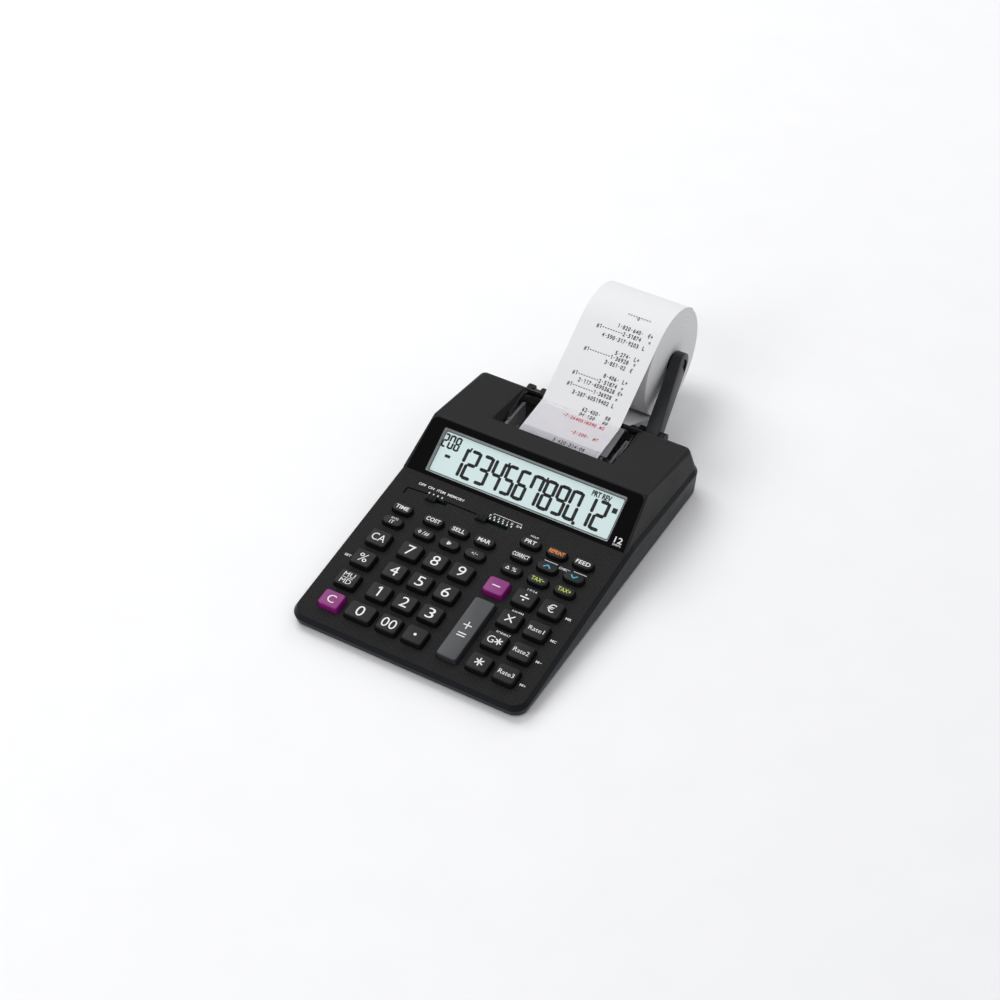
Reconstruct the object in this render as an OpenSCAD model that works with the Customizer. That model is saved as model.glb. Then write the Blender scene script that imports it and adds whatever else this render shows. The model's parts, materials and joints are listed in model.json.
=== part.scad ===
// Printing desk calculator: case, display, keyboard, printer and paper roll.
// X runs to the user's right, Y to the back and Z up. The origin is under the
// middle of the whole object. Inside the modules Y starts at the front edge.

/* [Case] */
// Width of the bottom case
case_w = 165; // [163:0.5:168]
// Depth of the bottom case
case_d = 235.5; // [234:0.5:238]
// Height of the feet
foot_h = 1.9; // [1.5:0.1:2.2]
// Radius of the case corners seen from above
corner_r = 10; // [9:0.5:12]
// Wall thickness of the two shells
wall = 2.2; // [2:0.1:2.4]
// Height of the seam between the shells at the front
seam_front = 9; // [8.8:0.1:9.6]
// Tilt of the keyboard deck
deck_tilt = 6.75; // [6.5:0.05:7]
// Where the seam stops rising
bend_y = 141; // [139:1:143]
// Fall of the seam behind that place
back_fall = 3; // [2.5:0.1:3.5]
// How far the top case stands in from the bottom case
ledge_in = 1.7; // [1.4:0.1:2]
// Height of the bevel that leads up to the ledge
ledge_h = 2.8; // [2.4:0.1:3]

/* [Display] */
// Slope of the display panel
panel_slope = 32.4; // [31.8:0.1:33]
// Length of the display panel along its slope
panel_l = 39; // [38.5:0.1:39.5]
// Width of the window in the panel
window_w = 132.4; // [130:0.2:134]
// Height of the window along the slope
window_h = 30.8; // [30:0.1:31.2]

/* [Keys] */
// Width of a standard key
key_w = 15; // [14:0.1:15.2]
// Depth of a standard key
key_d = 13; // [12:0.1:13.2]
// Width of a small key
small_w = 14.4; // [13.6:0.1:14.8]
// Depth of a small key
small_d = 7.8; // [7.2:0.1:8]
// How far a key stands above the deck
key_rise = 3.8; // [3.4:0.1:4]
// How far a key goes down
key_travel = 1.5; // [1:0.1:1.6]
// Gap round a key in its hole
key_gap = 0.35; // [0.3:0.05:0.4]

/* [Paper] */
// Width of the paper
paper_w = 57.5; // [56.5:0.1:58]
// Radius of a full roll
roll_r = 38; // [36:0.5:38]
// Place of the roll's axis from the front edge
roll_y = 294.5; // [293:0.5:298]
// Height of the roll's axis
roll_z = 40.4; // [40:0.1:42]
// Thickness of the loose paper
paper_t = 0.3; // [0.2:0.05:0.4]

/* [Hidden] */
depth = roll_y + roll_r;
deck_h = 0.95;                 // deck surface above the seam
deck_t = 1.8;                  // deck thickness
seam_gap = 0.35;               // shadow gap between the shells
floor_t = 2;
foot_in = 1.2;                 // how far the underside stands in from the sides
panel_y = 132.3;               // lower edge of the display panel
panel_z = seam_z(panel_y) + deck_h;
panel_t = 1.5;
window_u = 3.1;                // lower edge of the window along the slope
top_half = 77.6;               // half width of the housing at the panel's top edge
back_y = 228.4;                // upper back edge of the housing
back_z = 39.3;
back_half = 78.4;
back_r = 5;                    // rounding of the upper back corners
ridge_r = 1.2;                 // rounding along the panel's top edge
tray_half = 44;                // half width of the paper recess
tray_front = 182;
tray_back = 224.4;
cover_front = 186.6;           // front edge of the smoked cover
cover_back = 219.4;            // its tear edge
cover_z = 38.2;                // top of the cover at its front edge
cover_rise = 3.3;              // slope of the cover
cover_t = 1.5;
roller_y = 192;
roller_z = 30.2;
roller_r = 5.5;
shaft_r = 2;
rod_y = 178.5;
rod_z = 25;
rod_r = 1.5;
side_x = 37;                   // inner face of the printer's side plates
side_t = 2;
inlet_z = 31;                  // height of the paper inlet in the back wall
inlet_y = 233;
pivot_y = 242.5;
pivot_z = 21;
pivot_r = 2.5;
fit_gap = 0.05;                // radial clearance of a running fit
peg_r = 6;
arm_in = 30.5;                 // inner face of a roll arm at its hub
bay_half = 51;                 // half width of the battery bay
bay_front = 138;
bay_back = 167;
bay_top = 19;
pocket_half = 54;              // pocket of the battery cover, seen from below
pocket_front = 129.6;
pocket_back = 169.5;
cover_plate_front = 135.8;
jack_x = -60;
jack_z = 11;
jack_face = 233.6;
jack_r = 2.9;
jack_l = 9.5;
mat_w = -4.6;                  // upper face of the key mat below the deck surface
mat_t = 1;
board_t = 1.3;
SCREWS = [[-72, 8], [72, 8], [-72, 128], [72, 128], [-70, 221], [70, 221]];
screw_head_r = 2.6;
screw_r = 1.25;
boss_z = 5.4;                  // where the bosses of the two shells meet

// Columns from left to right and rows from front to back, on the deck
COL = [-61.3, -38.4, -19.9, -1.4, 23.4, 43.4, 61.9];
ROW = [18.4, 36.5, 54.8, 73];
SMALL_ROW = [89.3, 101, 113.2];
// Name, x, v, width, depth, and true for a small key with round ends
KEYS = [
    ["key_clear", COL[0], ROW[0], key_w, key_d, false],
    ["key_markup", COL[0], ROW[1], key_w, key_d, false],
    ["key_percent", COL[0], ROW[2], key_w, key_d, false],
    ["key_clear_all", COL[0], ROW[3], key_w, key_d, false],
    ["key_0", COL[1] - 2, ROW[0], key_w + 4, key_d, false],
    ["key_1", COL[1], ROW[1], key_w, key_d, false],
    ["key_4", COL[1], ROW[2], key_w, key_d, false],
    ["key_7", COL[1], ROW[3], key_w, key_d, false],
    ["key_00", COL[2], ROW[0], key_w, key_d, false],
    ["key_2", COL[2], ROW[1], key_w, key_d, false],
    ["key_5", COL[2], ROW[2], key_w, key_d, false],
    ["key_8", COL[2], ROW[3], key_w, key_d, false],
    ["key_point", COL[3], ROW[0], key_w, key_d, false],
    ["key_3", COL[3], ROW[1], key_w, key_d, false],
    ["key_6", COL[3], ROW[2], key_w, key_d, false],
    ["key_9", COL[3], ROW[3], key_w, key_d, false],
    ["key_plus_equals", COL[4], ROW[1], key_w, key_d + ROW[2] - ROW[0], false],
    ["key_minus", COL[4], ROW[3], key_w, key_d, false],
    ["key_total", COL[5], ROW[0], key_w, key_d, false],
    ["key_grand_total", COL[5], ROW[1], key_w, key_d, false],
    ["key_multiply", COL[5], ROW[2], key_w, key_d, false],
    ["key_divide", COL[5], ROW[3], key_w, key_d, false],
    ["key_rate_3", COL[6], ROW[0], key_w, key_d, false],
    ["key_rate_2", COL[6], ROW[1], key_w, key_d, false],
    ["key_rate_1", COL[6], ROW[2], key_w, key_d, false],
    ["key_euro", COL[6], ROW[3], key_w, key_d, false],
    ["key_item_count", COL[0], SMALL_ROW[0], small_w, small_d, true],
    ["key_subtotal", COL[1], SMALL_ROW[0], small_w, small_d, true],
    ["key_backspace", COL[2], SMALL_ROW[0], small_w, small_d, true],
    ["key_sign", COL[3], SMALL_ROW[0], small_w, small_d, true],
    ["key_time", COL[0], SMALL_ROW[1], small_w, small_d, true],
    ["key_cost", COL[1], SMALL_ROW[1], small_w, small_d, true],
    ["key_sell", COL[2], SMALL_ROW[1], small_w, small_d, true],
    ["key_margin", COL[3], SMALL_ROW[1], small_w, small_d, true],
    ["key_change_percent", COL[4] + 1.4, SMALL_ROW[0], small_w, small_d, true],
    ["key_correct", COL[4] + 1.4, SMALL_ROW[1], small_w, small_d, true],
    ["key_print", COL[4] + 1.4, SMALL_ROW[2], small_w, small_d, true],
    ["key_tax_minus", COL[5], SMALL_ROW[0], small_w, small_d, true],
    ["key_check_back", COL[5], SMALL_ROW[1], small_w, small_d, true],
    ["key_reprint", COL[5], SMALL_ROW[2], small_w, small_d, true],
    ["key_tax_plus", COL[6], SMALL_ROW[0], small_w, small_d, true],
    ["key_check_next", COL[6], SMALL_ROW[1], small_w, small_d, true],
    ["key_feed", COL[6], SMALL_ROW[2], small_w, small_d, true],
];
// Name, x at rest, v and travel of each slide switch
SELECTORS = [["power_selector", -50.2, 117.5, 9], ["rounding_selector", -13.5, 117.7, 16.5]];
knob_w = 7.4;
knob_d = 4.8;
stem_w = 3.4;
stem_d = 2;

function seam_z(y) = y < bend_y
    ? seam_front + y * tan(deck_tilt)
    : seam_front + bend_y * tan(deck_tilt) - (y - bend_y) * tan(back_fall);
function arc(cx, cy, r, a, b, n) =
    [for (i = [0 : n]) [cx + r * cos(a + (b - a) * i / n), cy + r * sin(a + (b - a) * i / n)]];
function cover_top(y) = cover_z + (y - cover_front) * tan(cover_rise);

// Moves a module's geometry from the front edge to the object's own origin
module place() {
    translate([0, -depth / 2, 0]) children();
}

// The keyboard deck: x, distance from the front and height above its surface
module on_deck() {
    translate([0, 0, seam_front + deck_h]) rotate([deck_tilt, 0, 0]) children();
}

// The display panel: x, distance up the slope and height above its face
module on_panel() {
    translate([0, panel_y, panel_z]) rotate([panel_slope, 0, 0]) children();
}

// A cylinder along X from x0 to x1 with its axis at y, z
module rod(y, z, r, x0, x1, n = 48) {
    translate([x0, y, z]) rotate([0, 90, 0]) cylinder(r = r, h = x1 - x0, $fn = n);
}

// A block between two opposite corners
module block(a, b) {
    translate(a) cube(b - a);
}

// A rectangle with true arcs at its corners
module round_rect(w, d, r) {
    square([w - 2 * r, d], center = true);
    square([w, d - 2 * r], center = true);
    for (x = [-1, 1], y = [-1, 1])
        translate([x * (w / 2 - r), y * (d / 2 - r)]) circle(r = r, $fn = 24);
}

// The rim that follows the seam, moved in from the sides and down from the seam
module rim(inset, drop) {
    side = case_w / 2 - corner_r;
    for (s = [-1, 1]) {
        translate([s * side, corner_r, seam_z(corner_r) - drop])
            rotate([deck_tilt, 0, 0]) cylinder(r = corner_r - inset, h = 0.01, $fn = 32);
        translate([s * side, case_d - corner_r, seam_z(case_d - corner_r) - drop])
            rotate([-back_fall, 0, 0]) cylinder(r = corner_r - inset, h = 0.01, $fn = 32);
    }
    translate([inset - case_w / 2, bend_y, seam_z(bend_y) - drop])
        cube([case_w - 2 * inset, 0.01, 0.01]);
}

// The underside's outline at one height
module footprint(inset, z) {
    translate([0, case_d / 2, z]) linear_extrude(0.01)
        round_rect(case_w - 2 * inset, case_d - 2 * inset, corner_r - inset);
}

module battery_bay_walls() {
    difference() {
        block([-bay_half - 1.5, bay_front - 1.5, foot_h + floor_t], [bay_half + 1.5, bay_back + 1.5, bay_top]);
        block([-bay_half, bay_front, 0], [bay_half, bay_back, bay_top + 1]);
    }
    difference() {
        block([-pocket_half - 2, pocket_front - 2, foot_h + floor_t - 0.4],
              [pocket_half + 2, pocket_back + 2, foot_h + 3.2]);
        block([-bay_half, bay_front, 0], [bay_half, bay_back, bay_top]);
    }
}

module hinge_lugs() {
    for (x0 = [-51.4, -41.4, 32.4, 47.4]) {
        block([x0, 233, pivot_z - 4.6], [x0 + 4, pivot_y, pivot_z - 0.5]);
        rod(pivot_y, pivot_z, 4.6, x0, x0 + 4);
    }
}

module bottom_case() {
    color([0.16, 0.17, 0.19]) difference() {
        union() {
            difference() {
                hull() {
                    footprint(foot_in, foot_h);
                    rim(0, ledge_h);
                    rim(ledge_in, 0.01);
                }
                hull() {
                    footprint(foot_in + wall, foot_h + floor_t);
                    rim(wall, ledge_h);
                    rim(ledge_in + 1.5, -2);
                }
            }
            battery_bay_walls();
            hinge_lugs();
            for (p = SCREWS)
                translate([p[0], p[1], foot_h]) cylinder(r = 3.6, h = boss_z - foot_h, $fn = 32);
            for (x = [-66, 66], y = [22, 212])
                translate([x, y, 0]) cylinder(r = 6, h = foot_h + 1, $fn = 48);
            block([jack_x - 5.5, jack_face - jack_l - 2, foot_h + 1], [jack_x + 5.5, jack_face, jack_z + 5.5]);
        }
        block([-pocket_half, pocket_front, foot_h - 1], [pocket_half, pocket_back, foot_h + 1.6]);
        block([-bay_half, bay_front, 0], [bay_half, bay_back, foot_h + 4]);
        for (p = SCREWS)
            translate([p[0], p[1], 0]) {
                cylinder(r = screw_head_r + 0.3, h = foot_h + 1.6, $fn = 32);
                cylinder(r = screw_r + 0.3, h = 20, $fn = 32);
            }
        translate([jack_x, jack_face, jack_z]) rotate([-90, 0, 0]) cylinder(r = 5, h = 4, $fn = 48);
        translate([jack_x, jack_face + 1, jack_z]) rotate([90, 0, 0])
            cylinder(r = jack_r, h = jack_l + 1, $fn = 48);
        rod(pivot_y, pivot_z, pivot_r + fit_gap, -52, 52);
    }
}

// The display housing's outside
module housing() {
    hull() {
        for (s = [-1, 1]) {
            translate([s * (case_w / 2 - corner_r), case_d - corner_r, seam_z(case_d - corner_r) + seam_gap])
                rotate([-back_fall, 0, 0]) cylinder(r = corner_r - ledge_in, h = 0.01, $fn = 32);
            translate([s * (top_half - ridge_r), 0, 0]) panel_top_edge() sphere(r = ridge_r, $fn = 24);
            translate([s * (back_half - back_r), back_y - back_r, back_z - back_r]) sphere(r = back_r, $fn = 32);
        }
        translate([ledge_in - case_w / 2, panel_y, panel_z - 1.2]) cube([case_w - 2 * ledge_in, 0.01, 1.19]);
    }
}

// The line along the panel's top edge, one rounding radius inside it
module panel_top_edge() {
    translate([0, panel_y, panel_z]) rotate([panel_slope, 0, 0])
        translate([0, panel_l + 0.4, -ridge_r]) children();
}

module housing_cavity() {
    inner = case_w / 2 - ledge_in - wall;
    hull() {
        block([-inner, panel_y + 2.6, 10], [inner, panel_y + 2.7, panel_z - 1]);
        block([-inner, case_d - ledge_in - wall - 8, 10], [inner, case_d - ledge_in - wall - 7.9, seam_z(case_d)]);
        block([8 - inner, case_d - ledge_in - wall - 0.1, 10], [inner - 8, case_d - ledge_in - wall, seam_z(case_d)]);
        on_panel() block([-top_half + wall + 0.6, panel_l - 1.6, -wall - 0.1], [top_half - wall - 0.6, panel_l - 1.5, -wall]);
        for (s = [-1, 1])
            translate([s * (back_half - back_r), back_y - back_r - 0.4, back_z - back_r])
                sphere(r = back_r - wall + 0.2, $fn = 24);
    }
}

// The wedge-shaped recess that the paper comes out of; grow gives its tub
module paper_recess(grow) {
    hull() {
        block([-tray_half - grow, tray_front - grow, 44.2 - grow], [tray_half + grow, tray_front - grow + 0.1, 50]);
        block([-tray_half - grow, tray_back + grow - 0.1, 39.2], [tray_half + grow, tray_back + grow, 50]);
        block([4 - tray_half - grow, cover_front - 0.2 - grow, cover_top(cover_front) - cover_t - 0.4],
              [tray_half - 4 + grow, cover_front + 1, 44]);
        block([2 - tray_half - grow, tray_back + grow - 0.1, cover_top(cover_back) - cover_t - 0.4],
              [tray_half - 2 + grow, tray_back + grow, 44]);
    }
}

// Everything below the deck and its lip, and beside the lip everything below the shadow gap
module under_lip() {
    low = deck_t - deck_h;
    translate([0, 0, seam_front]) rotate([deck_tilt, 0, 0])
        block([-90, -20, -60], [90, bend_y / cos(deck_tilt) + 0.5, -low]);
    translate([0, bend_y, seam_z(bend_y)]) rotate([-back_fall, 0, 0])
        block([-90, -0.5, -60], [90, 110, -low]);
    for (s = [-1, 1]) {
        x = s > 0 ? case_w / 2 - ledge_in - 1.9 : -90;
        side = 90 - case_w / 2 + ledge_in + 1.9;
        translate([x, 0, seam_front]) rotate([deck_tilt, 0, 0])
            block([0, -20, -60], [side, bend_y / cos(deck_tilt) + 0.5, seam_gap]);
        translate([x, bend_y, seam_z(bend_y)]) rotate([-back_fall, 0, 0])
            block([0, -0.5, -60], [side, 110, seam_gap]);
    }
}

module top_case() {
    color([0.13, 0.13, 0.14]) difference() {
        union() {
            difference() {
                union() {
                    hull() {
                        rim(ledge_in, -seam_gap);
                        rim(ledge_in + 0.5, -deck_h + 0.01);
                    }
                    hull() {
                        rim(ledge_in + 1.9, deck_t - deck_h);
                        rim(ledge_in + 1.9, -seam_gap);
                    }
                    housing();
                }
                housing_cavity();
                under_lip();
            }
            intersection() {
                paper_recess(2);
                housing();
            }
            for (p = SCREWS)
                translate([p[0], p[1], boss_z + 0.1])
                    cylinder(r = 3, h = (p[1] > 200 ? 38.4 : seam_z(p[1]) - 0.2) - boss_z, $fn = 32);
        }
        paper_recess(0);
        translate([-tray_half + 3, 0, 0]) block([0, cover_front, 30], [2 * tray_half - 6, tray_back - 0.5, 42]);
        block([-31, 222, inlet_z - 2.5], [31, 240, inlet_z + 2.5]);
        block([-31.5, 222, 38.5], [31.5, 240, 50]);
        for (p = SCREWS)
            translate([p[0], p[1], 0]) cylinder(r = screw_r + 0.1, h = boss_z + 3.5, $fn = 32);
        on_deck() {
            for (k = KEYS)
                translate([k[1], k[2], -deck_t - 1]) linear_extrude(deck_t + 3)
                    round_rect(k[3] + 2 * key_gap, k[4] + 2 * key_gap, (k[5] ? small_d / 2 - 0.1 : 2.2) + key_gap);
            for (s = SELECTORS)
                translate([s[1] + s[3] / 2, s[2], -deck_t - 1]) linear_extrude(deck_t + 3)
                    square([s[3] + stem_w + 0.8, stem_d + 0.8], center = true);
        }
        on_panel() {
            translate([0, 0, -panel_t]) linear_extrude(4) panel_outline(0.15);
            block([-window_w / 2 - 0.4, window_u - 0.4, -6], [window_w / 2 + 0.4, window_u + window_h + 0.4, 1]);
        }
    }
}

module panel_outline(grow) {
    low = 78.6 + grow;
    high = 76.6 + grow;
    r = 4.5;
    polygon(concat([[-low, 0.5 - grow], [low, 0.5 - grow]],
        arc(high - r, panel_l - 0.5 + grow - r, r, 3, 90, 8),
        arc(r - high, panel_l - 0.5 + grow - r, r, 90, 177, 8)));
}

module display_window() {
    color([0.02, 0.02, 0.02]) place() on_panel() difference() {
        translate([0, 0, -panel_t]) linear_extrude(panel_t) panel_outline(0);
        block([-window_w / 2, window_u, -3], [window_w / 2, window_u + window_h, 1]);
    }
}

module lcd_module() {
    color([0.78, 0.84, 0.83]) place() on_panel()
        block([-window_w / 2 - 1.6, window_u - 0.9, -5.2], [window_w / 2 + 1.6, window_u + window_h + 1.4, -2.3]);
}

module key_mat() {
    color([0.75, 0.75, 0.72]) place() on_deck() difference() {
        block([-71, 11.5, mat_w - mat_t], [71, 119, mat_w]);
        block([-60, 105.5, mat_w - 3], [16, 120, mat_w + 3]);
    }
}

module main_board() {
    top = mat_w - mat_t;
    color([0.1, 0.35, 0.2]) place() on_deck() {
        block([-74, 12.4, top - board_t], [74, 122.5, top]);
        block([-24, 96, top - board_t - 1.6], [-10, 110, top - board_t]);
        block([8, 102, top - board_t - 1.4], [15, 112, top - board_t]);
        for (x = [30, 40, 50])
            translate([x, 112, top - board_t - 7]) cylinder(r = 3, h = 7, $fn = 32);
        for (s = SELECTORS)
            block([s[1] - 3, s[2] - 3.5, top], [s[1] + s[3] + 3, s[2] + 3.5, top + 1.4]);
    }
}

// A key: cap, skirt and the flange that holds it under the deck
module key(k) {
    r = k[5] ? small_d / 2 - 0.1 : 2.2;
    on_deck() translate([k[1], k[2], 0]) {
        translate([0, 0, -deck_t - 0.2]) linear_extrude(deck_t + 0.2 + key_rise - 1) round_rect(k[3], k[4], r);
        translate([0, 0, key_rise - 1]) linear_extrude(0.5) round_rect(k[3] - 0.9, k[4] - 0.9, r - 0.45);
        translate([0, 0, key_rise - 0.5]) linear_extrude(0.5) round_rect(k[3] - 1.8, k[4] - 1.8, r - 0.9);
        translate([0, 0, -deck_t - 1]) linear_extrude(0.8) round_rect(k[3] + 1.6, k[4] + 1.6, r);
    }
}

module selector(s) {
    on_deck() translate([s[1], s[2], 0]) {
        block([-knob_w / 2, -knob_d / 2, 0.2], [knob_w / 2, knob_d / 2, 1.2]);
        for (x = [-2, 0, 2])
            block([x * 1.3 - 0.6, -knob_d / 2 + 0.4, 1.2], [x * 1.3 + 0.6, knob_d / 2 - 0.4, 1.9]);
        block([-stem_w / 2, -stem_d / 2, mat_w + 0.9], [stem_w / 2, stem_d / 2, 0.2]);
        block([-4, -2.2, -deck_t - 1.1], [4, 2.2, -deck_t - 0.2]);
    }
}

module printer_chassis() {
    color([0.55, 0.56, 0.58]) difference() {
        union() {
            for (x = [-side_x - side_t, side_x])
                block([x, 173, foot_h + floor_t], [x + side_t, 214, 34.5]);
            for (x = [-side_x - side_t, side_x])
                block([x, 188, 34.4], [x + side_t, 214, cover_top(188) - cover_t - 0.1]);
            block([-side_x - 0.01, 174, 8], [side_x + 0.01, 213, 9.6]);
            block([-side_x - 0.01, 205, 8], [side_x + 0.01, 206.5, 22]);
            rod(rod_y, rod_z, rod_r, -side_x - 0.01, side_x + 0.01);
            rod(186, 16, 8, -side_x - side_t - 22, -side_x - 1);
        }
        rod(roller_y, roller_z, shaft_r + fit_gap, -50, 50);
    }
}

module feed_roller() {
    color([0.12, 0.12, 0.12]) {
        rod(roller_y, roller_z, roller_r, -32, 32);
        rod(roller_y, roller_z, shaft_r, -43, 43);
        rod(roller_y, roller_z, 4.6, side_x + side_t + 0.5, side_x + side_t + 3.5);
    }
}

module print_carriage() {
    color([0.2, 0.2, 0.35]) difference() {
        union() {
            block([-9, 173.6, 20], [9, 185.4, 29]);
            translate([0, 178.4, 29]) cylinder(r = 4.6, h = 4.5, $fn = 48);
        }
        rod(rod_y, rod_z, rod_r + fit_gap, -20, 20);
    }
}

module paper_cover() {
    color([0.3, 0.3, 0.32]) translate([0, cover_front, cover_z]) rotate([cover_rise, 0, 0]) difference() {
        block([0.4 - tray_half + 3, 0.1, -cover_t], [tray_half - 3.4, cover_back - cover_front, 0]);
        for (i = [-18 : 18])
            translate([i * 1.6, cover_back - cover_front + 0.35, -3]) rotate([0, 0, 45])
                translate([-0.5, -0.5, 0]) cube([1, 1, 6]);
    }
}

// One roll arm: the right one, for s = 1, slants out to its foot, and the left one is straight
module roll_arm(s) {
    hub = s > 0 ? arm_in : -arm_in - 6;
    foot = s > 0 ? 38 : hub;
    foot_w = s > 0 ? 9 : 6;
    difference() {
        union() {
            hull() {
                rod(roll_y, roll_z, 9, hub, hub + 6, 32);
                rod(pivot_y, pivot_z, 5.6, foot, foot + foot_w, 32);
            }
            rod(roll_y, roll_z, peg_r, s > 0 ? arm_in - 8.5 : -arm_in, s > 0 ? arm_in : -arm_in + 8.5);
        }
        rod(roll_y, roll_z, 5.2, s > 0 ? arm_in + 4.8 : -arm_in - 8, s > 0 ? arm_in + 8 : -arm_in - 4.8);
    }
}

module roll_holder() {
    color([0.12, 0.12, 0.13]) {
        roll_arm(-1);
        roll_arm(1);
        rod(pivot_y, pivot_z, pivot_r, -51.2, 51.2);
    }
}

module paper_roll() {
    color([0.95, 0.95, 0.94]) difference() {
        rod(roll_y, roll_z, roll_r, -paper_w / 2, paper_w / 2, 96);
        rod(roll_y, roll_z, peg_r + fit_gap, -40, 40);
    }
}

// The paper's path from under the roll, round the feed roller and over the roll
lap_r = roll_r + 0.35;
wrap_r = roller_r + 0.3;
web_dy = roll_y - inlet_y;
web_dz = roll_z - inlet_z;
web_a = atan2(web_dz, web_dy) - asin(lap_r / norm([web_dy, web_dz]));
exit_y = cover_back + 0.2;
exit_z = cover_top(cover_back) - cover_t - 0.7;
bend_r = 4;                    // bend of the paper round the tear edge
in_a = atan2(inlet_z - roller_z + wrap_r, inlet_y - roller_y);
out_a = atan2(exit_z - roller_z - wrap_r, exit_y - roller_y);
lift_y = exit_y + 1.8;
lift_z = exit_z + 0.6;
strip_a = atan2(roll_z - lift_z, roll_y - lift_y) + asin(lap_r / norm([roll_y - lift_y, roll_z - lift_z]));
lap_end = 50;                  // the strip's end, measured from the top of the roll

function paper_path() = concat(
    [[roll_y + lap_r * sin(web_a), roll_z - lap_r * cos(web_a)], [inlet_y, inlet_z]],
    arc(roller_y, roller_z, wrap_r, 270 + in_a, 90 + out_a, 12),
    arc(exit_y - bend_r * sin(out_a), exit_z + bend_r * cos(out_a), bend_r, 270 + out_a, 270 + strip_a, 6),
    arc(roll_y, roll_z, lap_r, 90 + strip_a, 90 - lap_end, 20));
function path_dir(p, i) = let (a = p[max(i - 1, 0)], b = p[min(i + 1, len(p) - 1)]) (b - a) / norm(b - a);
function path_side(p, off) = [for (i = [0 : len(p) - 1]) p[i] + off * [path_dir(p, i)[1], -path_dir(p, i)[0]]];
function flip(p) = [for (i = [len(p) - 1 : -1 : 0]) p[i]];

module paper_strip() {
    p = paper_path();
    color([0.97, 0.97, 0.97]) translate([-paper_w / 2, 0, 0]) rotate([90, 0, 90]) linear_extrude(paper_w)
        polygon(concat(p, flip(path_side(p, -paper_t))));
}

module battery_cover() {
    color([0.16, 0.17, 0.19]) {
        block([0.3 - pocket_half, cover_plate_front, foot_h], [pocket_half - 0.3, pocket_back - 0.3, foot_h + 1.5]);
        for (y = [0 : 3])
            block([-9, cover_plate_front + 2.5 + 2 * y, foot_h - 0.5], [9, cover_plate_front + 3.5 + 2 * y, foot_h]);
    }
}

module case_screws() {
    color([0.7, 0.7, 0.72]) for (p = SCREWS)
        translate([p[0], p[1], foot_h + 0.1]) difference() {
            union() {
                cylinder(r = screw_head_r, h = 1.5, $fn = 32);
                cylinder(r = screw_r, h = boss_z + 2.8 - foot_h, $fn = 24);
            }
            for (a = [0, 90])
                rotate([0, 0, a]) cube([3, 0.6, 1.4], center = true);
        }
}

place() bottom_case();
place() top_case();
display_window();
lcd_module();
key_mat();
main_board();
place() printer_chassis();
place() feed_roller();
place() print_carriage();
place() paper_cover();
place() roll_holder();
place() paper_roll();
place() paper_strip();
place() battery_cover();
place() case_screws();
for (s = SELECTORS)
    place() color([0.1, 0.1, 0.1]) selector(s);
for (k = KEYS)
    place() color(key_colour(k[0])) key(k);

function key_colour(name) =
    name == "key_clear" || name == "key_minus" ? [0.55, 0.1, 0.5] :
    name == "key_plus_equals" ? [0.32, 0.33, 0.34] : [0.17, 0.17, 0.18];
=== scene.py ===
"""The visible model of a printing desk calculator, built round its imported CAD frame."""

import json
import logging
import math
from bisect import bisect_right
from dataclasses import dataclass
from enum import Enum
from typing import ClassVar, Iterable, Sequence

import bmesh
import bpy
from mathutils import Matrix, Vector


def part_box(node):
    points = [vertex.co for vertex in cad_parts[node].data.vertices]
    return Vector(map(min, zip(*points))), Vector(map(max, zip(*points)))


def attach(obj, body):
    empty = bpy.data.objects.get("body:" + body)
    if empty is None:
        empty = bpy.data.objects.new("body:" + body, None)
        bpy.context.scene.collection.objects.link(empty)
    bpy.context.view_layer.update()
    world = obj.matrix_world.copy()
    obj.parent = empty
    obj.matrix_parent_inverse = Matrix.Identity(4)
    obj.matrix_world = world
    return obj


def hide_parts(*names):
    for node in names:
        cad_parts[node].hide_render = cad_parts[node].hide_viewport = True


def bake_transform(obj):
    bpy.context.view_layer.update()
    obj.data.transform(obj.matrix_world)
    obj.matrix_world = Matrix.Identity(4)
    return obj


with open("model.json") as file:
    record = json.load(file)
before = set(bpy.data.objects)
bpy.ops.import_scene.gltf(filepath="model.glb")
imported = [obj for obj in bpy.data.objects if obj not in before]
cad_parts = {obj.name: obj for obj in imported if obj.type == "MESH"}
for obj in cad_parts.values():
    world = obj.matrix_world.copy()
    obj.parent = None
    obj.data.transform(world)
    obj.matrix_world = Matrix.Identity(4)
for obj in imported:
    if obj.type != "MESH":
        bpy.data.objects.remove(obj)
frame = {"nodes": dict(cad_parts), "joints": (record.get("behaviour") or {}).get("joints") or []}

log = logging.getLogger("calculator")

MM = 0.001
CASE = "case"
KEY_RISE = 3.8
PANEL_SLOPE = 32.4
PANEL_MARGIN = 0.5
CAP_OF_FONT = 0.69
PRINT_RISE = 0.03
FLOOR_DROP = 0.0002


class Pattern(Enum):
    """The kinds of surface detail a finish can have."""

    GRAIN = "grain"
    WEAVE = "weave"
    FIBRE = "fibre"
    RINGS = "rings"
    BRUSHED = "brushed"
    TRACES = "traces"


@dataclass(frozen=True)
class Finish:
    """One surface finish, with lengths in millimetres."""

    name: str
    color: tuple[float, float, float]
    roughness: float = 0.5
    metallic: float = 0.0
    coat: float = 0.0
    transmission: float = 0.0
    pattern: Pattern = Pattern.GRAIN
    pitch: float = 0.5
    depth: float = 0.02
    mottle_and_relief_shading: float = 0.08
    specular: float = 0.5
    ior: float = 1.5

    def material(self) -> bpy.types.Material:
        """Returns the finish's material, made on its first use."""
        return bpy.data.materials.get(self.name) or FinishBuilder(self).build()


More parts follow.
